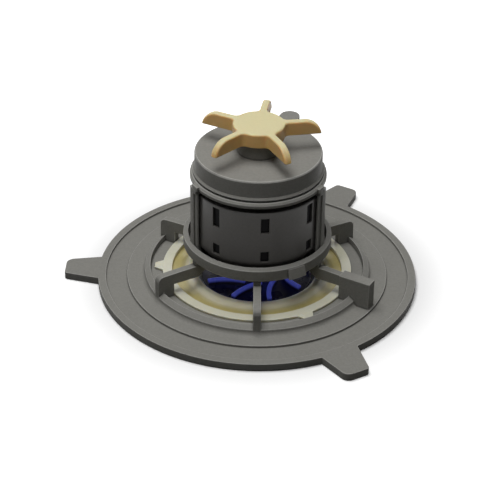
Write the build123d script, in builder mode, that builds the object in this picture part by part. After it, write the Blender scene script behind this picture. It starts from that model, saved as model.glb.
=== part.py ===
from build123d import *
import os
from math import cos, radians, sin

# Rotor of a dishwasher pump in the moulded frame that carries it. Millimetres, +Z up along the shaft.
# The origin is the centre of the flange's underside, which is the face that the object rests on.

os.makedirs("parts", exist_ok=True)

# Flange, as widths from the ridge's foot outwards
flange_thickness = 3.0
step_width = 5.5
field_width = 7.9
field_drop = 0.9
rim_width = 3.0
tab_count = 3
tab_first_angle = 60.0
tab_length = 12.6
tab_root_width = 15.2
tab_tip_width = 9.4
tab_tip_shift = 0.7
tab_leading_corner = 3.0
tab_trailing_corner = 1.5

# Well round the wear ring, and the ridge round the well
well_width = 4.45
ridge_width = 2.2
ridge_foot_width = 1.2
ridge_rise = 2.0
ridge_crest = 3.4
ridge_side_hollow = 0.4
well_rise = 0.8
seat_lip_thickness = 1.8
seat_lip_width = 2.3
seat_lip_bottom = 1.5
ridge_wall = 1.0

# Wear ring
wear_ring_width = 13.1
wear_ring_gap = 1.8
wear_rim_width = 3.7
wear_rim_stand = 0.85
wear_rim_step = 0.8
wear_wall = 1.4
wear_lip_width = 3.6
wear_lip_height = 1.0
wear_lip_crown = 0.3
wear_lug_length = 2.9
wear_lug_root_width = 8.4
wear_lug_tip_width = 3.2
wear_lug_thickness = 0.8

# Cage
cage_ring_bottom = 15.0
cage_ring_height = 5.9
cage_ring_wall = 1.9
cage_ring_chamfer = 0.7
cage_ring_foot_chamfer = 1.3
cage_floor_thickness = 1.5
rib_depth = 2.4
fin_foot_sink = 0.6
fin_count = 6
fin_first_angle = 30.5
fin_thickness = 2.8
fin_below_ring = 1.4
fin_fall = 0.5
fin_bar_depth = 4.9
fin_corner = 2.4
stop_fin_reach = 5.8
stop_fin_thickness = 4.4
stop_fin_rise = 0.1
leg_angle = 24.5
leg_spread = 11.4
leg_rib_spread = 7.0
leg_wall = 0.8
leg_rib_depth = 0.6
leg_tongue_wall = 1.4
leg_tongue_gap = 0.3
leg_jog_height = 1.7
block_angle = -58.5
block_spread = 14.5
block_height = 4.0
block_depth = 1.3
block_lift = 0.8

# Bearings, the same bush and sleeve at both ends of the shaft
shaft_radius = 2.5
bush_radius = 4.5
bush_height = 6.0
bush_chamfer = 0.4
sleeve_wall = 1.4
pocket_wall = 2.0
pocket_lip = 0.8
pocket_lip_radius = 3.6
bush_recess = 0.2
washer_radius = 5.5
washer_thickness = 0.6
running_gap = 0.03
axial_play = 0.3
seat_gap = 0.05

# Drum
drum_radius = 24.0
drum_height = 22.0
drum_wall = 0.9
drum_foot_height = 2.9
drum_foot_inset = 2.4
drum_edge = 0.4
disc_thickness = 1.2
cage_gap = 1.8
leg_gap = 0.6
magnet_count = 8
magnet_depth = 5.0
magnet_spacing_angle = 1.5
magnet_glue = 0.25
hub_radius = 9.4
hub_neck_radius = 5.0
upper_neck_height = 6.5
window_first_angle = -83.4
window_width = 3.0
lower_window_bottom = 1.5
lower_window_height = 4.2
short_window_bottom = 13.6
short_window_height = 6.0
tall_window_bottom = 12.9
tall_window_height = 7.9

# Bearing cap
skirt_gap = 2.35
skirt_inset = 0.4
skirt_bead_height = 1.25
skirt_bead_slope = 0.75
skirt_groove_depth = 1.5
skirt_groove_height = 0.55
ledge_inset = 1.0
ledge_width = 0.6
ledge_height = 0.55
ledge_slope = 0.65
skirt_wall = 2.6
cap_draft = 0.1
cap_rim_chamfer = 0.4
cap_wall = 2.0
cap_wall_height = 6.3
neck_wall = 1.6
neck_roof = 4.5
neck_bore_gap = 0.5
snap_angle = 28.0
snap_spread = 8.0
snap_height = 1.75
snap_depth = 1.0
snap_root = 0.5
back_tab_angle = 67.0
back_tab_reach = 10.0
back_tab_width = 7.4
back_tab_thickness = 1.6

# Pump wheel
wheel_radius = 20.8
wheel_clearance = 0.8
wheel_disc_thickness = 0.9
wheel_hub_radius = 6.2
wheel_hub_gap = 0.4
vane_count = 9
vane_first_angle = -115.7
vane_height = 1.9
vane_thickness = 1.7
vane_root_radius = 9.0
vane_sweep = 38.0
vane_belly_radius = 15.5
vane_belly_sweep = 3.0
clip_radius = 4.0
clip_thickness = 0.5
clip_groove_depth = 0.6
clip_groove_height = 0.6
clip_opening = 80.0
clip_recess_gap = 0.6
shaft_end_gap = 0.3
drive_flat_depth = 0.5

# Star wheel
star_blade_count = 5
star_first_angle = 81.5
star_radius = 22.9
star_tip_length = 5.9
star_height = 5.4
star_hub_radius = 9.5
star_blade_thickness = 2.8
star_root_fillet = 2.0
star_edge_chamfer = 0.45
star_tip_bulge = 1.35
star_socket_roof = 1.8

# Radii and heights that follow from the sizes above
wear_hole_radius = wheel_radius + wear_ring_gap
wear_ring_radius = wear_hole_radius + wear_ring_width
seat_radius = wear_ring_radius + seat_gap
ridge_inner_radius = seat_radius + well_width
ridge_radius = ridge_inner_radius + ridge_width
ridge_foot_radius = ridge_radius + ridge_foot_width
step_radius = ridge_foot_radius + step_width
rim_inner_radius = step_radius + field_width
flange_radius = rim_inner_radius + rim_width
field_height = flange_thickness - field_drop
well_height = flange_thickness + well_rise
seat_height = seat_lip_bottom + seat_lip_thickness
seat_lip_radius = seat_radius - seat_lip_width
wear_rim_top = well_height + wear_rim_stand
cage_ring_inner = drum_radius + cage_gap
cage_ring_outer = cage_ring_inner + cage_ring_wall
cage_ring_top = cage_ring_bottom + cage_ring_height
cage_floor_top = cage_ring_bottom + cage_floor_thickness
pocket_radius = bush_radius + sleeve_wall + 2 * seat_gap
pocket_tube_radius = pocket_radius + pocket_wall
lower_bush_top = cage_floor_top - bush_recess
lower_bush_bottom = lower_bush_top - bush_height
lower_pocket_floor = lower_bush_bottom - seat_gap
lower_tube_bottom = lower_pocket_floor - pocket_lip
lower_washer_bottom = lower_bush_top + axial_play
rotor_hub_bottom = lower_washer_bottom + washer_thickness
drum_foot_bottom = rotor_hub_bottom + axial_play
drum_bottom = drum_foot_bottom + drum_foot_height
drum_top = drum_bottom + drum_height
core_bottom = drum_bottom + disc_thickness + seat_gap
core_top = drum_top - disc_thickness - seat_gap
upper_washer_bottom = drum_top + upper_neck_height
upper_bush_bottom = upper_washer_bottom + washer_thickness + axial_play
upper_bush_top = upper_bush_bottom + bush_height
cap_bottom = drum_top + skirt_gap
bead_top = cap_bottom + skirt_bead_height + skirt_bead_slope
ledge_bottom = bead_top + skirt_groove_height
ledge_top = ledge_bottom + ledge_height
cap_foot = ledge_top + ledge_slope
cap_top = cap_foot + cap_wall_height
neck_radius = pocket_radius + neck_wall
neck_top = upper_bush_top + neck_roof
star_bottom = neck_top + axial_play
star_top = star_bottom + star_height
leg_inner = drum_radius + leg_gap
leg_outer = leg_inner + leg_wall
leg_rib_outer = leg_outer + leg_rib_depth
skirt_radius = leg_outer - skirt_inset
skirt_bore = skirt_radius - skirt_wall
ledge_radius = skirt_radius - ledge_inset
cap_foot_radius = ledge_radius - ledge_width
cap_rim_radius = cap_foot_radius - cap_draft
fin_top = cage_ring_bottom - fin_below_ring
stop_fin_angle = fin_first_angle - 360 / fin_count
stop_fin_radius = ridge_radius + stop_fin_reach
fin_leg_inner = seat_radius + seat_gap
fin_foot = well_height - fin_foot_sink
wheel_hub_top = lower_tube_bottom - wheel_hub_gap
wheel_disc_top = wheel_clearance + wheel_disc_thickness
clip_groove_bottom = wheel_clearance + clip_groove_height
clip_recess_top = clip_groove_bottom + clip_groove_height
shaft_bottom = wheel_clearance + shaft_end_gap
shaft_top = star_top - star_socket_roof - seat_gap
wheel_bore_radius = shaft_radius + seat_gap
flat_distance = shaft_radius - drive_flat_depth


def upright_plane(angle):
    """The plane through the shaft's axis at this angle: x runs outwards, y runs up."""
    a = radians(angle)
    return Plane((0, 0, 0), x_dir=(cos(a), sin(a), 0), z_dir=(sin(a), -cos(a), 0))


def turned(points):
    """Adds a round body whose section is given as radius and height pairs."""
    with BuildSketch(Plane.XZ) as section:
        with BuildLine():
            Polyline(points, close=True)
        make_face()
    revolve(section.sketch, axis=Axis.Z)


def tube(inner, outer, low, high):
    """Adds a plain tube or washer."""
    turned([(inner, low), (outer, low), (outer, high), (inner, high)])


def sector(inner, outer, low, high, middle, spread):
    """Adds a stretch of a ring, spread degrees wide about the middle angle."""
    with BuildSketch(upright_plane(middle - spread / 2)) as section:
        with Locations(((inner + outer) / 2, (low + high) / 2)):
            Rectangle(outer - inner, high - low)
    revolve(section.sketch, axis=Axis.Z, revolution_arc=spread)


def tapered(root, tip, root_width, tip_width, tip_shift=0):
    """A flat outline that narrows outwards along x, with its tip moved sideways."""
    with BuildSketch() as outline:
        with BuildLine():
            Polyline(
                (root, -root_width / 2),
                (tip, -tip_shift - tip_width / 2),
                (tip, -tip_shift + tip_width / 2),
                (root, root_width / 2),
                close=True,
            )
        make_face()
    return outline.sketch


def drive_bore(low, high):
    """Cuts the D-shaped hole that seats on the flat of the shaft."""
    with BuildSketch(Plane.XY.offset(low)) as bore:
        Circle(wheel_bore_radius)
        with Locations((flat_distance + seat_gap + shaft_radius / 2, 0)):
            Rectangle(shaft_radius, 2 * shaft_radius, mode=Mode.SUBTRACT)
    extrude(bore.sketch, amount=high - low, mode=Mode.SUBTRACT)


def write(shape, name):
    """Labels a finished piece and writes it as its own STEP file."""
    shape.label = name
    export_step(shape, f"parts/{name}.step")


# Flange frame: one moulding from the bayonet tabs to the tips of the legs


def flange_plate():
    """The stepped plate with its ridge, cored from below so that the wall stays even."""
    with BuildSketch(Plane.XZ) as section:
        with BuildLine():
            ridge_top = (ridge_radius, flange_thickness + ridge_rise)
            SagittaArc((ridge_foot_radius, flange_thickness), ridge_top, ridge_side_hollow)
            Polyline(
                ridge_top,
                (ridge_inner_radius, flange_thickness + ridge_crest),
                (ridge_inner_radius, well_height),
                (seat_radius, well_height),
                (seat_radius, seat_height),
                (seat_lip_radius, seat_height),
                (seat_lip_radius, seat_lip_bottom),
                (seat_radius + seat_lip_thickness, seat_lip_bottom),
                (ridge_inner_radius - ridge_wall, well_height - ridge_wall),
                (ridge_radius - ridge_wall, well_height - ridge_wall),
                (ridge_foot_radius, 0),
                (flange_radius, 0),
                (flange_radius, flange_thickness),
                (rim_inner_radius, flange_thickness),
                (rim_inner_radius, field_height),
                (step_radius, field_height),
                (step_radius, flange_thickness),
                (ridge_foot_radius, flange_thickness),
            )
        make_face()
    revolve(section.sketch, axis=Axis.Z)


def bayonet_tabs():
    """Three tapering tabs, level with the rim, with the leading corner rounded more."""
    root = flange_radius - rim_width / 2
    tip = flange_radius + tab_length
    with BuildSketch() as tab:
        add(tapered(root, tip, tab_root_width, tab_tip_width, tab_tip_shift))
        fillet(tab.vertices().group_by(Axis.X)[-1].sort_by(Axis.Y)[0], radius=tab_leading_corner)
        fillet(tab.vertices().group_by(Axis.X)[-1].sort_by(Axis.Y)[-1], radius=tab_trailing_corner)
    with BuildSketch() as tabs:
        with PolarLocations(0, tab_count, start_angle=tab_first_angle):
            add(tab.sketch)
    extrude(tabs.sketch, amount=flange_thickness)


def fin(angle):
    """A fin: a bar from the cage ring with a leg that stands in the well and on the ridge."""
    bar_bottom = fin_top - fin_bar_depth
    ring_root = cage_ring_outer - cage_ring_wall / 2
    with BuildSketch(upright_plane(angle)) as face:
        with BuildLine():
            Polyline(
                (pocket_tube_radius - pocket_wall / 2, cage_ring_bottom - rib_depth),
                (pocket_tube_radius - pocket_wall / 2, cage_ring_bottom + seat_gap),
                (ring_root, cage_ring_bottom + seat_gap),
                (ring_root, fin_top),
                (ridge_radius, fin_top - fin_fall),
                (ridge_radius, fin_foot),
                (fin_leg_inner, fin_foot),
                (fin_leg_inner, bar_bottom),
                (cage_ring_inner, bar_bottom),
                (cage_ring_inner - 2 * rib_depth, cage_ring_bottom - rib_depth),
                close=True,
            )
        make_face()
        fillet(face.vertices().sort_by(lambda v: v.X + v.Y)[-1], radius=fin_corner)
    extrude(face.sketch, amount=fin_thickness / 2, both=True)


def stop_fin(angle):
    """The square-ended part of the one longer fin, which runs out over the ridge."""
    top = fin_top + stop_fin_rise
    low = flange_thickness / 2
    with BuildSketch(upright_plane(angle)) as face:
        with BuildLine():
            Polyline(
                (fin_leg_inner, top),
                (stop_fin_radius, top),
                (stop_fin_radius, low),
                (ridge_foot_radius, low),
                (ridge_radius - ridge_wall, fin_foot),
                (fin_leg_inner, fin_foot),
                close=True,
            )
        make_face()
    extrude(face.sketch, amount=stop_fin_thickness / 2, both=True)


def cage_ring():
    """The cage ring with its floor and the tube that holds the lower bearing."""
    turned(
        [
            (pocket_radius, cage_floor_top),
            (cage_ring_inner, cage_floor_top),
            (cage_ring_inner, cage_ring_top),
            (cage_ring_outer, cage_ring_top - cage_ring_chamfer),
            (cage_ring_outer, cage_ring_bottom + cage_ring_foot_chamfer),
            (cage_ring_outer - cage_ring_foot_chamfer, cage_ring_bottom),
            (pocket_tube_radius, cage_ring_bottom),
            (pocket_tube_radius, lower_tube_bottom),
            (pocket_lip_radius, lower_tube_bottom),
            (pocket_lip_radius, lower_pocket_floor),
            (pocket_radius, lower_pocket_floor),
        ]
    )


def leg(middle, side):
    """A leg with an outer rib on the side that faces the next leg, and a tongue for the cap."""
    foot = cage_floor_top - cage_floor_thickness / 2
    rib_middle = middle + side * (leg_spread - leg_rib_spread) / 2
    tongue_outer = skirt_bore - seat_gap * 2
    tongue_inner = tongue_outer - leg_tongue_wall
    jog_bottom = cap_bottom - leg_jog_height
    sector(leg_inner, leg_outer, foot, cap_bottom, middle, leg_spread)
    sector(leg_inner, leg_rib_outer, foot, cap_bottom, rib_middle, leg_rib_spread)
    sector(tongue_inner, leg_rib_outer, jog_bottom, cap_bottom, middle, leg_spread)
    tongue_top = ledge_bottom - leg_tongue_gap
    sector(tongue_inner, tongue_outer, jog_bottom, tongue_top, middle, leg_spread)


with BuildPart() as flange_frame:
    flange_plate()
    bayonet_tabs()
    cage_ring()
    for index in range(fin_count):
        fin(fin_first_angle + index * 360 / fin_count)
    stop_fin(stop_fin_angle)
    for axis_angle in (0, 180):
        leg(axis_angle + leg_angle, -1)
        leg(axis_angle - leg_angle, 1)
    block_bottom = cage_ring_bottom + block_lift
    block_top = block_bottom + block_height
    block_outer = cage_ring_outer + block_depth
    block_inner = cage_ring_outer - cage_ring_wall / 2
    sector(block_inner, block_outer, block_bottom, block_top, block_angle, block_spread)
write(flange_frame.part, "flange_frame")

# Wear ring: an ivory channel ring with a flat rim, a rounded inner lip and three lugs

with BuildPart() as wear_ring:
    rim_inner = wear_ring_radius - wear_rim_width
    rim_foot = (rim_inner, wear_rim_top - wear_rim_step)
    valley_height = seat_lip_bottom + wear_wall
    lip_outer = wear_hole_radius + wear_lip_width
    lip_height = valley_height + wear_lip_height
    skirt_outer = seat_lip_radius - 2 * seat_gap
    with BuildSketch(Plane.XZ):
        with BuildLine():
            Polyline(
                (wear_hole_radius, lip_height),
                (wear_hole_radius, seat_lip_bottom),
                (skirt_outer, seat_lip_bottom),
                (skirt_outer, seat_height),
                (wear_ring_radius, seat_height),
                (wear_ring_radius, wear_rim_top),
                (rim_inner, wear_rim_top),
                rim_foot,
            )
            valley = ((rim_inner + lip_outer) / 2, valley_height)
            ThreePointArc(rim_foot, valley, (lip_outer, lip_height))
            SagittaArc((wear_hole_radius, lip_height), (lip_outer, lip_height), wear_lip_crown)
        make_face()
    revolve(axis=Axis.Z)
    lug_root = wear_ring_radius - wear_rim_width / 2
    lug_tip = wear_ring_radius + wear_lug_length
    with BuildSketch(Plane.XY.offset(well_height)):
        with PolarLocations(0, tab_count, start_angle=tab_first_angle):
            add(tapered(lug_root, lug_tip, wear_lug_root_width, wear_lug_tip_width))
    extrude(amount=wear_lug_thickness)
write(wear_ring.part, "wear_ring")

# Bearing cap: a shallow cup with a neck, two beads, snap lugs and one tab at the back

with BuildPart() as bearing_cap:
    tube_bottom = upper_bush_bottom - pocket_lip
    turned(
        [
            (skirt_bore, cap_bottom),
            (skirt_radius, cap_bottom),
            (skirt_radius, cap_bottom + skirt_bead_height),
            (skirt_radius - skirt_bead_slope, bead_top),
            (skirt_radius - skirt_groove_depth, bead_top),
            (skirt_radius - skirt_groove_depth, ledge_bottom),
            (ledge_radius, ledge_bottom),
            (ledge_radius, ledge_top),
            (cap_foot_radius, cap_foot),
            (cap_rim_radius, cap_top - cap_rim_chamfer),
            (cap_rim_radius - cap_rim_chamfer, cap_top),
            (neck_radius, cap_top),
            (neck_radius, neck_top),
            (shaft_radius + neck_bore_gap, neck_top),
            (shaft_radius + neck_bore_gap, upper_bush_top + seat_gap),
            (pocket_radius, upper_bush_top + seat_gap),
            (pocket_radius, tube_bottom),
            (pocket_tube_radius, tube_bottom),
            (pocket_tube_radius, cap_top - cap_wall),
            (cap_rim_radius - cap_wall, cap_top - cap_wall),
            (cap_rim_radius - cap_wall, ledge_bottom),
            (skirt_bore, ledge_bottom),
        ]
    )
    with BuildSketch(Plane.XY.offset(cap_top - back_tab_thickness)):
        tab_length_overall = back_tab_reach + back_tab_width
        tab_middle = cap_rim_radius + back_tab_reach - tab_length_overall / 2
        with PolarLocations(tab_middle, 1, start_angle=back_tab_angle):
            SlotOverall(tab_length_overall, back_tab_width)
    extrude(amount=back_tab_thickness)
    snap_inner = skirt_radius - skirt_groove_depth - snap_root
    snap_outer = skirt_radius + snap_depth
    for snap_middle in (snap_angle, -snap_angle, 180 - snap_angle, 180 + snap_angle):
        sector(snap_inner, snap_outer, cap_bottom, cap_bottom + snap_height, snap_middle, snap_spread)
write(bearing_cap.part, "bearing_cap")


# Bearings: bush in a rubber sleeve, pressed into the cage floor and into the cap's neck


def bush(bottom):
    """A plain bearing bush with chamfered ends."""
    with BuildPart() as body:
        tube(shaft_radius + running_gap, bush_radius, bottom, bottom + bush_height)
        ends = body.edges().filter_by(GeomType.CIRCLE).sort_by(SortBy.RADIUS)[-2:]
        chamfer(ends, length=bush_chamfer)
    return body.part


def sleeve(bottom):
    """The rubber sleeve that holds a bush."""
    inner = bush_radius + seat_gap
    with BuildPart() as body:
        tube(inner, inner + sleeve_wall, bottom, bottom + bush_height)
    return body.part


write(bush(lower_bush_bottom), "lower_bearing_bush")
write(bush(upper_bush_bottom), "upper_bearing_bush")
write(sleeve(lower_bush_bottom), "lower_bush_sleeve")
write(sleeve(upper_bush_bottom), "upper_bush_sleeve")

# Shaft with a drive flat at each end and the groove of the lower clip

with BuildPart() as rotor_shaft:
    with BuildSketch(Plane.XY.offset(shaft_bottom)):
        Circle(shaft_radius)
    extrude(amount=shaft_top - shaft_bottom)
    for flat_low, flat_high in ((shaft_bottom, wheel_hub_top), (star_bottom, shaft_top)):
        with BuildSketch(Plane.XY.offset(flat_low)):
            with Locations((flat_distance + shaft_radius / 2, 0)):
                Rectangle(shaft_radius, 2 * shaft_radius)
        extrude(amount=flat_high - flat_low, mode=Mode.SUBTRACT)
    groove_radius = shaft_radius - clip_groove_depth
    with BuildSketch(Plane.XY.offset(clip_groove_bottom)):
        Circle(shaft_radius)
        Circle(groove_radius, mode=Mode.SUBTRACT)
    extrude(amount=clip_groove_height, mode=Mode.SUBTRACT)
write(rotor_shaft.part, "rotor_shaft")

# Thrust washers

for washer_name, washer_bottom in (
    ("lower_thrust_washer", lower_washer_bottom),
    ("upper_thrust_washer", upper_washer_bottom),
):
    with BuildPart() as washer:
        tube(shaft_radius + seat_gap, washer_radius, washer_bottom, washer_bottom + washer_thickness)
    write(washer.part, washer_name)

# Drum: shell with windows, end discs, magnets, back iron and hub

shell_bore = drum_radius - drum_wall
disc_radius = shell_bore - seat_gap
magnet_outer = disc_radius
magnet_inner = magnet_outer - magnet_depth
back_iron_radius = magnet_inner - magnet_glue

window_columns = magnet_count // 2
column_pitch = 360 / magnet_count


def windows(bottom, height, count, first_angle):
    """Cuts a row of windows through the wall of the drum."""
    with BuildSketch(Plane.XY.offset(drum_bottom + bottom)) as openings:
        with PolarLocations(drum_radius - drum_wall / 2, count, start_angle=first_angle):
            Rectangle(2 * drum_wall, window_width)
    extrude(openings.sketch, amount=height, mode=Mode.SUBTRACT)


with BuildPart() as drum_shell:
    turned(
        [
            (shell_bore, drum_bottom),
            (drum_radius - drum_edge, drum_bottom),
            (drum_radius, drum_bottom + drum_edge),
            (drum_radius, drum_top - drum_edge),
            (drum_radius - drum_edge, drum_top),
            (shell_bore, drum_top),
        ]
    )
    tall_first_angle = window_first_angle + column_pitch
    windows(lower_window_bottom, lower_window_height, magnet_count, window_first_angle)
    windows(short_window_bottom, short_window_height, window_columns, window_first_angle)
    windows(tall_window_bottom, tall_window_height, window_columns, tall_first_angle)
write(drum_shell.part, "drum_shell")

disc_bore = hub_neck_radius + seat_gap

with BuildPart() as drum_upper_disc:
    tube(disc_bore, disc_radius, drum_top - disc_thickness, drum_top)
write(drum_upper_disc.part, "drum_upper_disc")

with BuildPart() as drum_lower_disc:
    foot_radius = drum_radius - drum_foot_inset
    turned(
        [
            (disc_bore, drum_foot_bottom),
            (foot_radius, drum_foot_bottom),
            (foot_radius, drum_bottom),
            (disc_radius, drum_bottom),
            (disc_radius, drum_bottom + disc_thickness),
            (disc_bore, drum_bottom + disc_thickness),
        ]
    )
write(drum_lower_disc.part, "drum_lower_disc")

for number in range(magnet_count):
    with BuildPart() as magnet:
        magnet_angle = window_first_angle + number * column_pitch
        magnet_spread = column_pitch - magnet_spacing_angle
        sector(magnet_inner, magnet_outer, core_bottom, core_top, magnet_angle, magnet_spread)
    write(magnet.part, f"magnet_{number + 1}")

with BuildPart() as back_iron:
    tube(hub_radius + seat_gap, back_iron_radius, core_bottom, core_top)
write(back_iron.part, "back_iron")

with BuildPart() as rotor_hub:
    hub_bore = shaft_radius + seat_gap
    turned(
        [
            (hub_bore, rotor_hub_bottom),
            (hub_neck_radius, rotor_hub_bottom),
            (hub_neck_radius, core_bottom),
            (hub_radius, core_bottom),
            (hub_radius, core_top),
            (hub_neck_radius, core_top),
            (hub_neck_radius, upper_washer_bottom),
            (hub_bore, upper_washer_bottom),
        ]
    )
write(rotor_hub.part, "rotor_hub")


# Pump wheel: a disc with curved vanes round a hub that seats on the shaft's flat


def polar(radius, angle):
    """A point in plan."""
    return (radius * cos(radians(angle)), radius * sin(radians(angle)))


def vane(angle):
    """One curved vane, hooked towards its root."""
    tip = polar(wheel_radius - vane_thickness / 2, angle)
    belly = polar(vane_belly_radius, angle + vane_belly_sweep)
    root = polar(vane_root_radius, angle + vane_sweep)
    with BuildLine() as centre:
        ThreePointArc(tip, belly, root)
    with BuildSketch(Plane.XY.offset(wheel_disc_top)) as outline:
        trace(centre.line, line_width=vane_thickness)
    extrude(outline.sketch, amount=vane_height)


with BuildPart() as pump_wheel:
    turned(
        [
            (0, wheel_clearance),
            (wheel_radius, wheel_clearance),
            (wheel_radius, wheel_disc_top),
            (wheel_hub_radius, wheel_disc_top),
            (wheel_hub_radius, wheel_hub_top),
            (0, wheel_hub_top),
        ]
    )
    for index in range(vane_count):
        vane(vane_first_angle + index * 360 / vane_count)
    drive_bore(wheel_clearance, wheel_hub_top)
    with BuildSketch(Plane.XY.offset(wheel_clearance)):
        Circle(clip_radius + clip_recess_gap)
    extrude(amount=clip_recess_top - wheel_clearance, mode=Mode.SUBTRACT)
write(pump_wheel.part, "pump_wheel")

# Spring clip in the shaft's groove, open on one side

with BuildPart() as pump_wheel_clip:
    clip_bottom = clip_groove_bottom + (clip_groove_height - clip_thickness) / 2
    clip_inner = groove_radius + seat_gap
    clip_top = clip_bottom + clip_thickness
    sector(clip_inner, clip_radius, clip_bottom, clip_top, 0, 360 - clip_opening)
write(pump_wheel_clip.part, "pump_wheel_clip")


# Star wheel: five straight blades round a flat hub with a blind socket for the shaft


def blade(angle):
    """One straight blade whose top edge curves down to its tip."""
    with BuildSketch(upright_plane(angle)) as side:
        with BuildLine():
            start = star_hub_radius / 2
            shoulder = (star_radius - star_tip_length, star_top)
            tip = (star_radius, star_bottom)
            Polyline(tip, (start, star_bottom), (start, star_top), shoulder)
            SagittaArc(shoulder, tip, star_tip_bulge)
        make_face()
    extrude(side.sketch, amount=star_blade_thickness / 2, both=True)


with BuildPart() as star_wheel:
    with BuildSketch(Plane.XY.offset(star_bottom)):
        Circle(star_hub_radius)
    extrude(amount=star_height)
    for index in range(star_blade_count):
        blade(star_first_angle + index * 360 / star_blade_count)
    roots = star_wheel.edges().filter_by(Axis.Z)
    roots = roots.filter_by(lambda e: abs(e.length - star_height) < seat_gap)
    fillet(roots, radius=star_root_fillet)
    chamfer(star_wheel.faces().sort_by(Axis.Z)[-1].edges(), length=star_edge_chamfer)
    drive_bore(star_bottom, star_top - star_socket_roof)
write(star_wheel.part, "star_wheel")
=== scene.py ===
# %% [markdown]
# # A dishwasher pump rotor in its bayonet flange
# The object is a spare part from a dishwasher's pump. A grey moulded flange with three bayonet tabs carries
# a cage, and a rotor turns in it: a dark drum of magnets, a blue pump wheel below and a pale star wheel on
# top. The CAD model already has the right shapes and sizes. What it can't have is what makes them look
# moulded: edges that are a little round, skins that copy the steel of the mould, and plastics that let some
# light in. This lesson adds those, and then sets up a small studio.
#
# ## The fixed frame
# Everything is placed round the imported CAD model, so it is loaded first and never moved. Its nodes come in
# as objects that sit at the origin, in metres.

# %% Load the frame
from math import cos, pi, radians, sin

import bmesh
import bpy
from mathutils import Matrix, Vector


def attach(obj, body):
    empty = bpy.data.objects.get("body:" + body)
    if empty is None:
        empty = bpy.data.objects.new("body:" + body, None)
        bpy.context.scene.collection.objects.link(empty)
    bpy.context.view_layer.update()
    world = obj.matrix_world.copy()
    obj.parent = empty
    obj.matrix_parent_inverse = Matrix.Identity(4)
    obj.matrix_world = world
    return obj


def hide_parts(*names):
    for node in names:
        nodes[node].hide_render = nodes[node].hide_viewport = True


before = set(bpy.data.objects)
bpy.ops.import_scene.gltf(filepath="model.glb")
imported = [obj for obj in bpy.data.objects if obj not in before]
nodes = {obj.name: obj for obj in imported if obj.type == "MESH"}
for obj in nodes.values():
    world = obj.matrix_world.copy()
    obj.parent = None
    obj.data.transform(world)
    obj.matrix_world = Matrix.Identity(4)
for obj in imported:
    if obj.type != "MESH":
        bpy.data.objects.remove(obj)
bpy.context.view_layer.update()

MM = 0.001

# %% [markdown]
# ## The rounded edges of a moulded part
# No moulded edge is sharp. The mould's corners are cut with a small radius, and that radius catches a thin
# line of light that tells the eye how big the part is and that it is plastic. The CAD mesh has knife-sharp
# edges. The radius could come from a bevel shader node, which only fakes it and fails on the outline, or
# from real geometry. Real geometry is used here. A copy of the node's mesh is merged, because it arrives as
# loose triangles. Its outward edges are found by their angle and marked with a bevel weight, and the bevel
# modifier rounds those alone, so the inner corners stay crisp and dark. Dissolving flat faces into one
# large polygon first looks tidier, but a ring-shaped polygon renders wrong. The bevel's new faces get the
# second material slot, which lets the edges be painted a little lighter, as a painted highlight. Where the
# bevel has no room, its faces fold back as tiny flaps, and these are closed by collapsing their shortest
# edges. The weighted normals at the end keep the flat faces flat beside their round edges.

# %% A merged copy of a CAD node
weld_distance = 0.005 * MM


def weld():
    """Merges the active object's doubled points and leaves nothing selected."""
    bpy.ops.object.mode_set(mode="EDIT")
    bpy.ops.mesh.select_all(action="SELECT")
    bpy.ops.mesh.remove_doubles(threshold=weld_distance)
    bpy.ops.mesh.select_all(action="DESELECT")
    bpy.ops.object.mode_set(mode="OBJECT")


def merged_copy(name, node):
    """A new object with a copy of a node's mesh, merged into one skin."""
    piece = bpy.data.objects.new(name, nodes[node].data.copy())
    bpy.context.scene.collection.objects.link(piece)
    bpy.ops.object.select_all(action="DESELECT")
    piece.select_set(True)
    bpy.context.view_layer.objects.active = piece
    bpy.ops.mesh.customdata_custom_splitnormals_clear()
    weld()
    piece.data.materials.clear()
    for slot_name in ("faces", "edges"):
        piece.data.materials.append(bpy.data.materials.new(f"{name}_{slot_name}_blank"))
    print(name, "is merged to", len(piece.data.vertices), "points")
    return piece


# %% Flaps closed
fold_angle = radians(140)
most_passes = 6


def iron_folds(piece):
    """Closes the tiny flaps that a bevel leaves where its faces have no room."""
    skin = bmesh.new()
    skin.from_mesh(piece.data)
    for _ in range(most_passes):
        folds = [e for e in skin.edges if len(e.link_faces) == 2 and e.calc_face_angle(0) > fold_angle]
        flaps = {min(e.link_faces, key=lambda face: face.calc_area()) for e in folds}
        shortest = {min(flap.edges, key=lambda edge: edge.calc_length()) for flap in flaps}
        if not shortest:
            break
        bmesh.ops.collapse(skin, edges=list(shortest))
        bmesh.ops.dissolve_degenerate(skin, dist=0.0005 * MM, edges=skin.edges)
    loose = [e for e in skin.edges if not e.link_faces]
    bmesh.ops.delete(skin, geom=loose, context="EDGES")
    skin.to_mesh(piece.data)
    skin.free()
    print("folds found in the last pass:", len(folds))


# %% Edges rounded
smooth_angle = radians(38)


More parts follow.
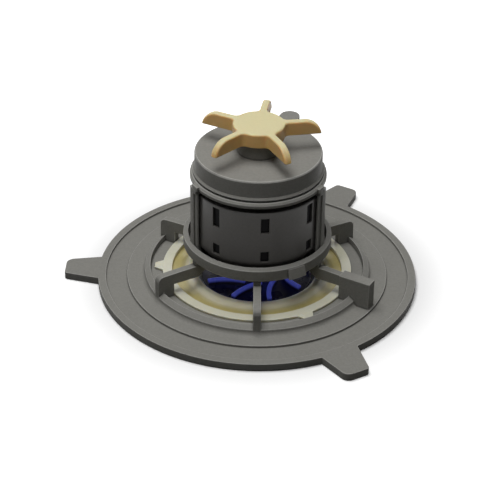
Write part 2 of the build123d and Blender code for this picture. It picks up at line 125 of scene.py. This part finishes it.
def round_edges(piece, node, body, edge_mm, edge_angle=32.0):
    """Rounds the edges of a merged copy by edge_mm and lets it stand for its node."""
    skin = bmesh.new()
    skin.from_mesh(piece.data)
    weight = skin.edges.layers.float.new("bevel_weight_edge")
    outward = [e for e in skin.edges if e.is_convex and e.calc_face_angle(0) > radians(edge_angle)]
    for edge in outward:
        edge[weight] = 1.0
    skin.to_mesh(piece.data)
    skin.free()
    bevel = piece.modifiers.new("rounded_edges", "BEVEL")
    bevel.width = edge_mm * MM
    bevel.segments = 2
    bevel.limit_method = "WEIGHT"
    bevel.material = 1
    bevel.use_clamp_overlap = False
    bpy.ops.object.modifier_apply(modifier="rounded_edges")
    iron_folds(piece)
    bpy.ops.object.shade_smooth_by_angle(angle=smooth_angle)
    flat = piece.modifiers.new("flat_faces_stay_flat", "WEIGHTED_NORMAL")
    flat.keep_sharp = True
    bpy.ops.object.modifier_apply(modifier="flat_faces_stay_flat")
    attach(piece, body)
    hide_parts(node)
    piece.data.calc_loop_triangles()
    print(piece.name, "has", len(outward), "outward edges and", len(piece.data.loop_triangles), "triangles")


# %% [markdown]
# ## The flange and its cage
# This is the large grey moulding: a stepped disc with three tabs that turn home in the pump's housing, six
# fins that rise over the water's way in, a ring that they carry, and four legs up to the cap. The mould for
# it was turned and then spark eroded, and its corners have a radius of about a quarter of a millimetre.
#
# A small block stands on the ring. Its face leans back, so that it catches the light from above, which a
# straight block doesn't. Here the points of its upper outer edge are picked by their place and moved
# inwards.

# %% Flange and cage
flange = merged_copy("flange_moulding", "flange_frame")
block_angle = radians(-58.5)
block_direction = Vector((cos(block_angle), sin(block_angle), 0))
block_face = 28.6 * MM
block_half_width = 4.5 * MM
block_top = 19.8 * MM
block_lean = 1.2 * MM
for point in flange.data.vertices:
    ahead = point.co.dot(block_direction)
    across = (point.co - ahead * block_direction).to_2d().length
    at_top = abs(point.co.z - block_top) < 0.3 * MM
    point.select = at_top and ahead > block_face and across < block_half_width
print("points on the block's upper edge:", sum(point.select for point in flange.data.vertices))
bpy.ops.object.mode_set(mode="EDIT")
bpy.ops.transform.translate(value=-block_lean * block_direction)
bpy.ops.object.mode_set(mode="OBJECT")
round_edges(flange, "flange_frame", "frame", 0.25)

# %% [markdown]
# ## The bearing cap
# The cap stands on the legs, whose tongues reach up inside its skirt, and holds the upper bearing. Round
# its outside runs a bead, then a groove and a ledge. It is moulded from the same grey plastic as the
# flange.

# %% Bearing cap
cap = merged_copy("cap_moulding", "bearing_cap")
round_edges(cap, "bearing_cap", "frame", 0.22)

# %% [markdown]
# ## The wear ring
# The pale ring lies loose in the flange and seals against the pump wheel. It has a round lip at its bore, a
# valley and a flat rim with small lugs. The CAD ring's valley is one arc, deepest half way between lip and
# rim. On the real one the lip falls away in a soft curve, and the floor stays level up to the rim, like a
# gutter. A whole new ring could be spun from a drawn profile, but its lugs would have to be joined on
# again. So the valley of the copy is subdivided, and its points are given the gutter's height by their
# distance from the axis.

# %% The gutter's height
bore_radius = 22.6 * MM
lip_crest = 24.7 * MM
lip_outer = 26.2 * MM
valley_start = 29.6 * MM
rim_inner = 32.0 * MM
lip_height = 4.3 * MM
lip_fall = 0.4 * MM
valley_height = 2.9 * MM


def gutter_height(radius):
    """Height of the wear ring's upper skin between its bore and its rim."""
    if radius < lip_crest:
        return lip_height - lip_fall * ((lip_crest - radius) / (lip_crest - bore_radius)) ** 2
    if radius > valley_start:
        return valley_height
    fall = (radius - lip_crest) / (valley_start - lip_crest)
    return valley_height + (lip_height - valley_height) * (0.5 + 0.5 * cos(pi * fall))


print("gutter in mm:", [round(gutter_height(r * MM) / MM, 2) for r in (22.6, 24, 26, 28, 30, 32)])

# %% Wear ring
wear_ring = merged_copy("wear_ring_moulding", "wear_ring")
for face in wear_ring.data.polygons:
    far = face.center.to_2d().length
    looks_up = face.normal.z > 0.8 and face.center.z > 2.5 * MM
    face.select = looks_up and lip_outer < far < rim_inner
print("faces of the valley:", sum(face.select for face in wear_ring.data.polygons))
bpy.ops.object.mode_set(mode="EDIT")
bpy.ops.mesh.subdivide(number_cuts=5)
bpy.ops.mesh.select_all(action="DESELECT")
bpy.ops.object.mode_set(mode="OBJECT")
for point in wear_ring.data.vertices:
    far = point.co.to_2d().length
    on_upper_skin = 2.6 * MM < point.co.z < 4.4 * MM
    if on_upper_skin and bore_radius - 0.1 * MM < far < rim_inner + 0.05 * MM:
        point.co.z = gutter_height(far)
weld()
round_edges(wear_ring, "wear_ring", "frame", 0.25)

# %% [markdown]
# ## The pump wheel
# The blue wheel throws the water outwards with low, swept vanes. A vane that is moulded this thin always
# has round shoulders, so that it leaves the mould, and they show as bright lines in the dark under the
# cage, together with the painted light that the blue material puts on the vane tops.

# %% Pump wheel
pump_wheel = merged_copy("pump_wheel_moulding", "pump_wheel")
round_edges(pump_wheel, "pump_wheel", "rotor", 0.35)

# %% [markdown]
# ## The star wheel
# The pale star on top of the shaft has five blades whose ends fall away in a curve. Its edges are clearly
# round in the mould. The CAD model cuts them with a flat chamfer, and the bevel rounds the two edges that
# the chamfer leaves, which together make a full radius.

# %% Star wheel
star_wheel = merged_copy("star_wheel_moulding", "star_wheel")
round_edges(star_wheel, "star_wheel", "rotor", 0.3, edge_angle=28.0)

# %% [markdown]
# ## The magnet drum
# A dark shell holds eight magnets, which show through two rows of small windows. The windows' edges are
# almost sharp, so the shell gets the smallest radius.

# %% Magnet drum
drum = merged_copy("drum_moulding", "drum_shell")
round_edges(drum, "drum_shell", "rotor", 0.15)

# %% [markdown]
# ## Colours and nodes
# A colour is read off a swatch as an sRGB hex value, but Blender's shaders mix light, so they want linear
# numbers. One function does that step. A second one adds a node, sets its values and links its inputs,
# which keeps each material down to the few lines that say what the surface is. A socket is named where its
# name is clear and numbered where several share one, as on the Mix node.

# %% Colour and node helpers


def linear(code):
    """Turns an sRGB hex code such as "82817c" into linear red, green, blue and alpha."""
    parts = [int(code[i : i + 2], 16) / 255 for i in (0, 2, 4)]
    return [p / 12.92 if p <= 0.04045 else ((p + 0.055) / 1.055) ** 2.4 for p in parts] + [1]


def add_node(tree, kind, settings=None, links=None):
    """Adds one node. settings holds its properties and plain inputs, links what feeds its inputs."""
    node = tree.nodes.new(kind)
    for name, value in (settings or {}).items():
        if isinstance(name, int) or name in node.inputs:
            node.inputs[name].default_value = value
        else:
            setattr(node, name, value)
    for name, source in (links or {}).items():
        tree.links.new(source, node.inputs[name])
    return node


def new_material(name):
    """An empty node material."""
    material = bpy.data.materials.new(name)
    material.use_nodes = True
    material.node_tree.nodes.clear()
    return material


def per_metre(size_mm):
    """The scale that gives a noise of this size, on coordinates in metres."""
    return 1 / (size_mm * MM)


print("swatch 82817c is", [round(v, 3) for v in linear("82817c")])

# %% [markdown]
# ## What a moulded skin is made of
# A moulded surface has no grain of its own. It copies the steel of the mould, which was spark eroded to a
# fine matt, and the plastic adds slow clouds of colour where the melt cooled unevenly, with fine flecks of
# filler. Under that lies a broad, very low waviness where thick places sank as they cooled. Three small
# functions follow: one for the clouds and flecks, one for the skin with its sink marks, and one for the
# plastic itself, whose gloss wanders a little. Each plastic below puts them together in its own measure.
# The eroded texture is really about 0.05 mm and too fine to show, so it is drawn at 0.35 mm, and the flecks
# at 0.8 mm.

# %% Clouds and flecks in the colour
cloud_mm = 14
fleck_mm = 0.8


def melt_clouds(tree, place, base, cloud, fleck):
    """Colour that wanders from base to cloud, two hex codes, with flecks lighter or darker by a share."""
    broad = {"Scale": per_metre(cloud_mm), "Detail": 3.0}
    clouds = add_node(tree, "ShaderNodeTexNoise", broad, {"Vector": place})
    colours = {"data_type": "RGBA", 6: linear(base), 7: linear(cloud)}
    tint = add_node(tree, "ShaderNodeMix", colours, {0: clouds.outputs["Fac"]})
    fine = {"Scale": per_metre(fleck_mm), "Detail": 1.0}
    flecks = add_node(tree, "ShaderNodeTexNoise", fine, {"Vector": place})
    share = add_node(
        tree,
        "ShaderNodeMapRange",
        {"From Min": 0.3, "From Max": 0.7, "To Min": 1 - fleck, "To Max": 1 + fleck},
        {"Value": flecks.outputs["Fac"]},
    )
    return add_node(
        tree,
        "ShaderNodeMix",
        {"data_type": "RGBA", "blend_type": "MULTIPLY", 0: 1.0},
        {6: tint.outputs[2], 7: share.outputs["Result"]},
    ).outputs[2]


# %% The mould's skin
sink_mm = 22
grain_mm = 0.35


def eroded_skin(tree, place, strength):
    """The normal of a spark-eroded skin, with sink marks under its fine grain."""
    broad = {"Scale": per_metre(sink_mm), "Detail": 1.0}
    sink = add_node(tree, "ShaderNodeTexNoise", broad, {"Vector": place})
    shallow = {"Strength": 0.06, "Distance": 0.4 * MM}
    low = add_node(tree, "ShaderNodeBump", shallow, {"Height": sink.outputs["Fac"]})
    fine = {"Scale": per_metre(grain_mm), "Detail": 2.0}
    grain = add_node(tree, "ShaderNodeTexNoise", fine, {"Vector": place})
    return add_node(
        tree,
        "ShaderNodeBump",
        {"Strength": strength, "Distance": 0.03 * MM},
        {"Height": grain.outputs["Fac"], "Normal": low.outputs["Normal"]},
    ).outputs["Normal"]


# %% The plastic itself
gloss_mm = 9


def plastic_surface(tree, place, colour, roughness, normal, settings):
    """A plastic with a roughness that wanders a little over the part."""
    patches = {"Scale": per_metre(gloss_mm), "Detail": 2.0}
    wander = add_node(tree, "ShaderNodeTexNoise", patches, {"Vector": place})
    rough = add_node(
        tree,
        "ShaderNodeMapRange",
        {"From Min": 0.3, "From Max": 0.7, "To Min": roughness - 0.05, "To Max": roughness + 0.05},
        {"Value": wander.outputs["Fac"]},
    )
    surface = add_node(
        tree,
        "ShaderNodeBsdfPrincipled",
        settings,
        {"Base Color": colour, "Roughness": rough.outputs["Result"], "Normal": normal},
    )
    add_node(tree, "ShaderNodeOutputMaterial", None, {"Surface": surface.outputs["BSDF"]})
    return surface


# %% [markdown]
# ## Grey glass-filled polypropylene
# Flange, cage and cap are polypropylene with glass fibre, coloured grey and moulded matt. The fibre keeps
# the surface dull, so its reflection is weak and wide, and that leaves the shaded sides nearly black. Where
# the mould was turned on a lathe, the flat faces carry its faint rings. They could be a texture image, but
# a Wave texture in rings about the shaft's axis gives them at a real distance, here 0.9 mm. They belong on
# They belong on level faces alone, so the height is faded out by the face's own direction. A thin dark
# line of painted shade sits in the part's corners: the Ambient Occlusion node finds them within 0.9 mm and
# darkens the colour there. The rounded edges get the same plastic in a lighter tone, a painted highlight.

# %% Grey polypropylene
ring_spacing = 0.9 * MM
corner_shade_reach = 0.9 * MM
# The Wave texture draws a ring every 2 * pi / 20 units at a scale of 1.
ring_scale = 2 * pi / (20 * ring_spacing)


def grey_plastic(name, base, cloud):
    """Grey glass-filled polypropylene with turned rings on its level faces and painted shade in its corners.
    """
    material = new_material(name)
    tree = material.node_tree
    coordinates = add_node(tree, "ShaderNodeTexCoord")
    place = coordinates.outputs["Object"]
    round_the_shaft = {"wave_type": "RINGS", "rings_direction": "Z", "Scale": ring_scale}
    unsteady = {"Distortion": 1.5, "Detail": 2.0}
    rings = add_node(tree, "ShaderNodeTexWave", round_the_shaft | unsteady, {"Vector": place})
    facing = add_node(tree, "ShaderNodeSeparateXYZ", None, {"Vector": coordinates.outputs["Normal"]})
    level = add_node(
        tree,
        "ShaderNodeMapRange",
        {"From Min": 0.9, "From Max": 1.0, "To Max": 1.0},
        {"Value": facing.outputs["Z"]},
    )
    height = add_node(
        tree,
        "ShaderNodeMath",
        {"operation": "MULTIPLY"},
        {0: rings.outputs["Fac"], 1: level.outputs["Result"]},
    )
    turned = add_node(
        tree,
        "ShaderNodeBump",
        {"Strength": 0.25, "Distance": 0.02 * MM},
        {"Height": height.outputs[0], "Normal": eroded_skin(tree, place, 0.3)},
    )
    # Painted shade: the colour is darkened in the corners that the Ambient Occlusion node finds close by.
    corners = add_node(tree, "ShaderNodeAmbientOcclusion", {"samples": 8, "Distance": corner_shade_reach})
    unshaded_share = add_node(
        tree,
        "ShaderNodeMapRange",
        {"From Min": 0.45, "From Max": 0.9, "To Min": 0.5, "To Max": 1.0},
        {"Value": corners.outputs["AO"]},
    )
    corner_shaded_colour = add_node(
        tree,
        "ShaderNodeMix",
        {"data_type": "RGBA", "blend_type": "MULTIPLY", 0: 1.0},
        {6: melt_clouds(tree, place, base, cloud, 0.05), 7: unshaded_share.outputs["Result"]},
    )
    plastic_surface(
        tree,
        place,
        corner_shaded_colour.outputs[2],
        0.55,
        turned.outputs["Normal"],
        {"IOR": 1.47, "Specular IOR Level": 0.12},
    )
    return material


grey_polypropylene = grey_plastic("grey_glass_filled_polypropylene_moulded", "7c7b76", "82817c")
# Painted highlight: a lighter grey for the rounded edges of the grey mouldings.
edge_highlight_polypropylene = grey_plastic("grey_glass_filled_polypropylene_painted_edge_highlight", "959490", "9c9b96")
print("greys:", grey_polypropylene.name, edge_highlight_polypropylene.name)

# %% [markdown]
# ## Ivory acetal
# The wear ring is acetal, a slippery plastic that is left in its own milky ivory. It comes out of a
# polished mould with a soft gloss. A little light goes in, spreads and comes out warmer, which the
# scattering does. The lip and the valley get painted light and shade as well: a warmer and deeper tone
# towards the floor of the valley, mixed in by height, is painted shade, and a paler tone on the thin lip,
# mixed in by its distance from the axis, is painted light.

# %% Ivory acetal
ivory_acetal = new_material("ivory_acetal_moulded")
tree = ivory_acetal.node_tree
place = add_node(tree, "ShaderNodeTexCoord").outputs["Object"]
where = add_node(tree, "ShaderNodeSeparateXYZ", None, {"Vector": place})
# Painted shade: a deeper, warmer tone towards the floor of the valley, mixed in by height.
low = add_node(
    tree,
    "ShaderNodeMapRange",
    {"From Min": valley_height + 0.1 * MM, "From Max": lip_height + 0.15 * MM, "To Min": 1.0, "To Max": 0.0},
    {"Value": where.outputs["Z"]},
)
tone = add_node(
    tree,
    "ShaderNodeMix",
    {"data_type": "RGBA"},
    {
        0: low.outputs["Result"],
        6: melt_clouds(tree, place, "c6c5b2", "cccab8", 0.02),
        7: melt_clouds(tree, place, "aa9e68", "b2a772", 0.02),
    },
)
level_place = add_node(
    tree,
    "ShaderNodeCombineXYZ",
    None,
    {"X": where.outputs["X"], "Y": where.outputs["Y"]},
)
in_plan = level_place.outputs["Vector"]
from_axis = add_node(tree, "ShaderNodeVectorMath", {"operation": "LENGTH"}, {0: in_plan})
# Painted light: a paler tone on the thin lip, mixed in by distance from the axis.
lip_painted_light = add_node(
    tree,
    "ShaderNodeMapRange",
    {"From Min": lip_crest + 0.5 * MM, "From Max": lip_crest + 2.9 * MM, "To Min": 1.0, "To Max": 0.0},
    {"Value": from_axis.outputs["Value"]},
)
tone_with_painted_lip_light = add_node(
    tree,
    "ShaderNodeMix",
    {"data_type": "RGBA", 7: linear("fbf5da")},
    {0: lip_painted_light.outputs["Result"], 6: tone.outputs[2]},
)
plastic_surface(
    tree,
    place,
    tone_with_painted_lip_light.outputs[2],
    0.22,
    eroded_skin(tree, place, 0.12),
    {
        "IOR": 1.48,
        "Specular IOR Level": 0.6,
        "Subsurface Weight": 0.3,
        "Subsurface Radius": (1.0, 0.8, 0.45),
        "Subsurface Scale": 1.0 * MM,
    },
)
print(ivory_acetal.name, "has", len(tree.nodes), "nodes")

# %% [markdown]
# ## Natural nylon
# The star wheel is nylon in its natural colour, the yellowish white of unpainted engineering plastic. It
# lets light in by some millimetres, red farther than blue, so light that falls on its top comes out of its
# sides deeper and warmer. Subsurface scattering does part of that. The rest is painted light: a deeper,
# warmer tone painted on the upright faces, mixed in by the face's direction, for a volume would be slow.

# %% Natural nylon
natural_nylon = new_material("natural_nylon_moulded")
tree = natural_nylon.node_tree
coordinates = add_node(tree, "ShaderNodeTexCoord")
place = coordinates.outputs["Object"]
facing = add_node(tree, "ShaderNodeSeparateXYZ", None, {"Vector": coordinates.outputs["Normal"]})
# Painted light: the upright faces get a deeper, warmer tone, as if lit through from the top.
upright_painted_light = add_node(
    tree,
    "ShaderNodeMapRange",
    {"From Min": 0.25, "From Max": 0.95, "To Min": 1.0, "To Max": 0.0},
    {"Value": facing.outputs["Z"]},
)
tone = add_node(
    tree,
    "ShaderNodeMix",
    {"data_type": "RGBA"},
    {
        0: upright_painted_light.outputs["Result"],
        6: melt_clouds(tree, place, "cac094", "cfc69c", 0.015),
        7: melt_clouds(tree, place, "e4ba76", "e8c07e", 0.015),
    },
)
plastic_surface(
    tree,
    place,
    tone.outputs[2],
    0.42,
    eroded_skin(tree, place, 0.12),
    {
        "IOR": 1.53,
        "Specular IOR Level": 0.25,
        "Subsurface Weight": 0.4,
        "Subsurface Radius": (1.0, 0.6, 0.3),
        "Subsurface Scale": 1.4 * MM,
    },
)
print(natural_nylon.name, "has", len(tree.nodes), "nodes")

# %% [markdown]
# ## Blue polypropylene
# The pump wheel is dyed a deep blue. Its disc is painted almost black, which is painted shade, and its thin
# vanes a bright blue, which is painted light, so that they shine clearly blue in the shade under the cage.
# The tone is mixed by height over the disc. A faint glow of the same blue is painted on the vanes as well,
# though they are no lamp. It stands for light that thin vanes gather along their length, as a light guide
# does, which the renderer can't carry so far.

# %% Blue polypropylene
blue_polypropylene = new_material("blue_dyed_polypropylene_moulded")
tree = blue_polypropylene.node_tree
place = add_node(tree, "ShaderNodeTexCoord").outputs["Object"]
where = add_node(tree, "ShaderNodeSeparateXYZ", None, {"Vector": place})
disc_top = 1.7 * MM
# Painted shade and light: below this height the disc is painted near black, above it the vanes bright blue.
vane_painted_light_share = add_node(
    tree,
    "ShaderNodeMapRange",
    {"From Min": disc_top + 0.5 * MM, "From Max": disc_top + 1.7 * MM, "To Max": 1.0},
    {"Value": where.outputs["Z"]},
)
tone = add_node(
    tree,
    "ShaderNodeMix",
    {"data_type": "RGBA"},
    {
        0: vane_painted_light_share.outputs["Result"],
        6: melt_clouds(tree, place, "2c2a52", "32305a", 0.02),
        7: melt_clouds(tree, place, "8090fa", "8a98fc", 0.02),
    },
)
# Painted light: a faint blue glow on the vanes, though they are no lamp.
painted_vane_glow = add_node(
    tree,
    "ShaderNodeMix",
    {"data_type": "RGBA", 6: linear("000000"), 7: linear("4a54c0")},
    {0: vane_painted_light_share.outputs["Result"]},
)
wheel_surface = plastic_surface(
    tree,
    place,
    tone.outputs[2],
    0.28,
    eroded_skin(tree, place, 0.08),
    {"IOR": 1.49, "Specular IOR Level": 0.5, "Emission Strength": 0.3},
)
tree.links.new(painted_vane_glow.outputs[2], wheel_surface.inputs["Emission Color"])
print(blue_polypropylene.name, "has", len(tree.nodes), "nodes")

# %% [markdown]
# ## Dark drum polymer
# Shell, end discs and hub of the drum are a dark brownish grey polymer, smoother than the flange because it
# has to slip through the water. Its satin skin reflects the pale room, and that veil of light, more than
# its own colour, is what is seen on its side.

# %% Dark drum polymer
drum_polymer = new_material("dark_drum_polymer_moulded")
tree = drum_polymer.node_tree
place = add_node(tree, "ShaderNodeTexCoord").outputs["Object"]
plastic_surface(
    tree,
    place,
    melt_clouds(tree, place, "454340", "4b4946", 0.05),
    0.4,
    eroded_skin(tree, place, 0.2),
    {"IOR": 1.5, "Specular IOR Level": 0.4},
)
print(drum_polymer.name, "has", len(tree.nodes), "nodes")

# %% [markdown]
# ## The rest of the rotor and its bearings
# The magnets are ferrite, a black ceramic that is ground flat. The bushes are carbon and their sleeves
# black rubber. All three are dull, and differ in how dark and how rough they are, so one short function
# makes them from the parts above.

# %% Ferrite, carbon and rubber


def dull_black(name, base, cloud, roughness, grain, level):
    """A dull black material of the bearings or magnets."""
    material = new_material(name)
    tree = material.node_tree
    place = add_node(tree, "ShaderNodeTexCoord").outputs["Object"]
    plastic_surface(
        tree,
        place,
        melt_clouds(tree, place, base, cloud, 0.08),
        roughness,
        eroded_skin(tree, place, grain),
        {"IOR": 1.5, "Specular IOR Level": level},
    )
    return material


ferrite = dull_black("ferrite_ground", "0a0a0b", "101011", 0.6, 0.3, 0.08)
carbon = dull_black("bush_carbon_ground", "232325", "2b2b2d", 0.45, 0.15, 0.4)
rubber = dull_black("black_rubber_moulded", "1b1b1b", "222222", 0.75, 0.25, 0.25)
print("dull materials:", ferrite.name, carbon.name, rubber.name)

# %% [markdown]
# ## Steel
# Shaft, washers and clip are ground stainless steel, and the core inside the magnets is rolled steel.
# Grinding leaves fine lines round the shaft, so the noise that makes them is squeezed along Z: it changes
# quickly up the shaft and slowly round it. The lines are drawn 0.15 mm apart, coarser than they are, so
# that they show.

# %% Steel
line_length_mm = 6


def ground_steel(name, tone, roughness, line_mm):
    """Bare steel with fine lines that run round the shaft's axis."""
    material = new_material(name)
    tree = material.node_tree
    place = add_node(tree, "ShaderNodeTexCoord").outputs["Object"]
    squeeze = (per_metre(line_length_mm), per_metre(line_length_mm), per_metre(line_mm))
    squeezed = add_node(tree, "ShaderNodeMapping", {"Scale": squeeze}, {"Vector": place})
    lines = add_node(
        tree, "ShaderNodeTexNoise", {"Scale": 1.0, "Detail": 3.0}, {"Vector": squeezed.outputs["Vector"]}
    )
    rough = add_node(
        tree,
        "ShaderNodeMapRange",
        {"From Min": 0.3, "From Max": 0.7, "To Min": roughness - 0.06, "To Max": roughness + 0.08},
        {"Value": lines.outputs["Fac"]},
    )
    scratch = add_node(
        tree, "ShaderNodeBump", {"Strength": 0.2, "Distance": 0.01 * MM}, {"Height": lines.outputs["Fac"]}
    )
    surface = add_node(
        tree,
        "ShaderNodeBsdfPrincipled",
        {"Base Color": linear(tone), "Metallic": 1.0},
        {"Roughness": rough.outputs["Result"], "Normal": scratch.outputs["Normal"]},
    )
    add_node(tree, "ShaderNodeOutputMaterial", None, {"Surface": surface.outputs["BSDF"]})
    return material


ground_stainless = ground_steel("stainless_steel_ground", "c9c8c5", 0.25, 0.15)
rolled_steel = ground_steel("core_steel_rolled", "9c9a96", 0.4, 0.4)
print("steels:", ground_stainless.name, rolled_steel.name)

# %% [markdown]
# ## Which piece has which finish
# The new pieces and the CAD nodes that stay visible get their materials here, by name, so that the whole
# object's finishes can be read in one place.

# %% Give every piece its finish
finishes = {
    "flange_moulding": grey_polypropylene,
    "cap_moulding": grey_polypropylene,
    "wear_ring_moulding": ivory_acetal,
    "pump_wheel_moulding": blue_polypropylene,
    "star_wheel_moulding": natural_nylon,
    "drum_moulding": drum_polymer,
    "flange_frame": grey_polypropylene,
    "bearing_cap": grey_polypropylene,
    "wear_ring": ivory_acetal,
    "pump_wheel": blue_polypropylene,
    "star_wheel": natural_nylon,
    "drum_shell": drum_polymer,
    "drum_upper_disc": drum_polymer,
    "drum_lower_disc": drum_polymer,
    "rotor_hub": drum_polymer,
    "lower_bearing_bush": carbon,
    "upper_bearing_bush": carbon,
    "lower_bush_sleeve": rubber,
    "upper_bush_sleeve": rubber,
    "rotor_shaft": ground_stainless,
    "upper_thrust_washer": ground_stainless,
    "lower_thrust_washer": ground_stainless,
    "pump_wheel_clip": ground_stainless,
    "back_iron": rolled_steel,
}
finishes.update({name: ferrite for name in nodes if name.startswith("magnet")})
for name, finish in finishes.items():
    mesh = bpy.data.objects[name].data
    if name.endswith("_moulding"):
        mesh.materials[0] = finish
        # The grey mouldings' rounded edges get the lighter grey, a painted highlight.
        mesh.materials[1] = edge_highlight_polypropylene if finish == grey_polypropylene else finish
    else:
        mesh.materials.clear()
        mesh.materials.append(finish)
print("pieces with a finish:", len(finishes), "nodes without one:", sorted(set(nodes) - set(finishes)))

# %% [markdown]
# ## The floor
# A plain pale sheet. What the camera and reflections see of it is nearly white. What it throws back up at
# the object is darker, because a white sheet that is lit this strongly would wash out the shaded undersides
# that the real object shows. The Light Path node tells the two apart. Part of the white is the sheet's own,
# more of it far from the lamps, where it has to meet the white of the world. The rest is lit, so that the
# sheet keeps the object's shadow. Under the flange it has no white of its own, or it would glow through the
# gap round the pump wheel.

# %% What the camera sees, directly or in a reflection


def seen_by_the_eye(tree):
    """1 on camera, glossy and transmission rays, which carry what is seen, and 0 on all others."""
    path = add_node(tree, "ShaderNodeLightPath").outputs
    either = {"operation": "MAXIMUM"}
    first_two = {0: path["Is Camera Ray"], 1: path["Is Glossy Ray"]}
    camera_or_glossy = add_node(tree, "ShaderNodeMath", either, first_two)
    all_three = {0: camera_or_glossy.outputs[0], 1: path["Is Transmission Ray"]}
    return add_node(tree, "ShaderNodeMath", either, all_three).outputs[0]


# %% Floor
flange_radius = 60 * MM
white_full = 1.5 * flange_radius
white_alone = 10 * flange_radius
bpy.ops.object.select_all(action="DESELECT")
bpy.ops.mesh.primitive_plane_add(size=8.0, location=(0, 0, 0))
floor = bpy.context.active_object
floor.name = "floor"
paper = new_material("pale_paper_floor")
tree = paper.node_tree
seen = seen_by_the_eye(tree)
dim = add_node(tree, "ShaderNodeBsdfDiffuse", {"Color": linear("30302f")})
lit = add_node(tree, "ShaderNodeBsdfDiffuse", {"Color": linear("fbfbfb")})
place = add_node(tree, "ShaderNodeTexCoord").outputs["Object"]
from_axis = add_node(tree, "ShaderNodeVectorMath", {"operation": "LENGTH"}, {0: place})
outside = add_node(
    tree,
    "ShaderNodeMapRange",
    {"From Min": flange_radius, "From Max": white_full, "To Max": 1.0},
    {"Value": from_axis.outputs["Value"]},
)
far = add_node(
    tree,
    "ShaderNodeMapRange",
    {"From Min": white_full, "From Max": white_alone, "To Min": 0.6, "To Max": 1.0},
    {"Value": from_axis.outputs["Value"]},
)
white = add_node(
    tree, "ShaderNodeEmission", None, {"Color": outside.outputs["Result"], "Strength": far.outputs["Result"]}
)
pale = add_node(tree, "ShaderNodeAddShader", None, {0: lit.outputs[0], 1: white.outputs[0]})
mix = add_node(tree, "ShaderNodeMixShader", None, {0: seen, 1: dim.outputs[0], 2: pale.outputs[0]})
add_node(tree, "ShaderNodeOutputMaterial", None, {"Surface": mix.outputs[0]})
floor.data.materials.append(paper)
print("floor:", [round(v, 2) for v in floor.dimensions])

# %% [markdown]
# ## The world
# The world is white where the camera, a reflection or a look through something meets it, and otherwise only
# a faint fill, so that the lamps alone shape the object.

# %% World
world = bpy.data.worlds.new("studio")
bpy.context.scene.world = world
world.use_nodes = True
tree = world.node_tree
tree.nodes.clear()
seen = seen_by_the_eye(tree)
fill = add_node(tree, "ShaderNodeBackground", {"Color": linear("ffffff"), "Strength": 0.01})
white = add_node(tree, "ShaderNodeBackground", {"Color": linear("ffffff"), "Strength": 1.0})
mix = add_node(tree, "ShaderNodeMixShader", None, {0: seen, 1: fill.outputs[0], 2: white.outputs[0]})
add_node(tree, "ShaderNodeOutputWorld", None, {"Surface": mix.outputs[0]})

# %% [markdown]
# ## The lamps
# One softbox hangs over the object, a little to the left. It is large enough to be soft and small enough
# that the star's blades still throw their shadows on the cap. A weaker one in front sends light in under
# the cage, to the wear ring's lip and the pump wheel. The weakest stands at the left and opens the faces
# that look that way.

# %% Lamps
aimed_at = Vector((0, 0, 20 * MM))


def softbox(name, place, size, power):
    """A square area light that looks at a point on the shaft's axis, inside the cage."""
    light = bpy.data.lights.new(name, "AREA")
    light.shape = "SQUARE"
    light.size = size
    light.energy = power
    lamp = bpy.data.objects.new(name, light)
    bpy.context.scene.collection.objects.link(lamp)
    lamp.location = place
    aim = aimed_at - Vector(place)
    lamp.rotation_euler = aim.to_track_quat("-Z", "Y").to_euler()
    print(name, "is", round(aim.length, 2), "m away")


softbox("overhead_softbox", (-0.09, 0.02, 0.64), 0.38, 3.15)
softbox("front_softbox", (-0.04, -0.26, 0.62), 0.3, 0.85)
softbox("left_softbox", (-0.7, -0.15, 0.3), 0.5, 0.2)

# %% [markdown]
# ## The camera
# The camera stands where the photograph was taken from: about 33 degrees over the flange, 0.6 m away, with
# a long lens. Its distance is counted from the middle of the flange's top face.

# %% Camera
distance = 10.118 * flange_radius
elevation = radians(33.38)
pitch = radians(32.33)
yaw = radians(-0.73)
roll = radians(0.5)
forward = Vector((sin(yaw) * cos(pitch), cos(yaw) * cos(pitch), -sin(pitch)))
right = Vector((cos(yaw), -sin(yaw), 0))
up = right.cross(forward)
turned_right = cos(roll) * right + sin(roll) * up
turned_up = cos(roll) * up - sin(roll) * right
lens = bpy.data.cameras.new("camera")
lens.sensor_width = 36
lens.lens = 120
camera = bpy.data.objects.new("camera", lens)
bpy.context.scene.collection.objects.link(camera)
flange_top = 3.0 * MM
place = Vector((0, -distance * cos(elevation), distance * sin(elevation) + flange_top))
axes = Matrix((turned_right, turned_up, -forward)).transposed()
camera.matrix_world = Matrix.Translation(place) @ axes.to_4x4()
bpy.context.scene.camera = camera
bpy.context.scene.view_settings.view_transform = "Standard"
print("camera at", [round(v, 3) for v in place])
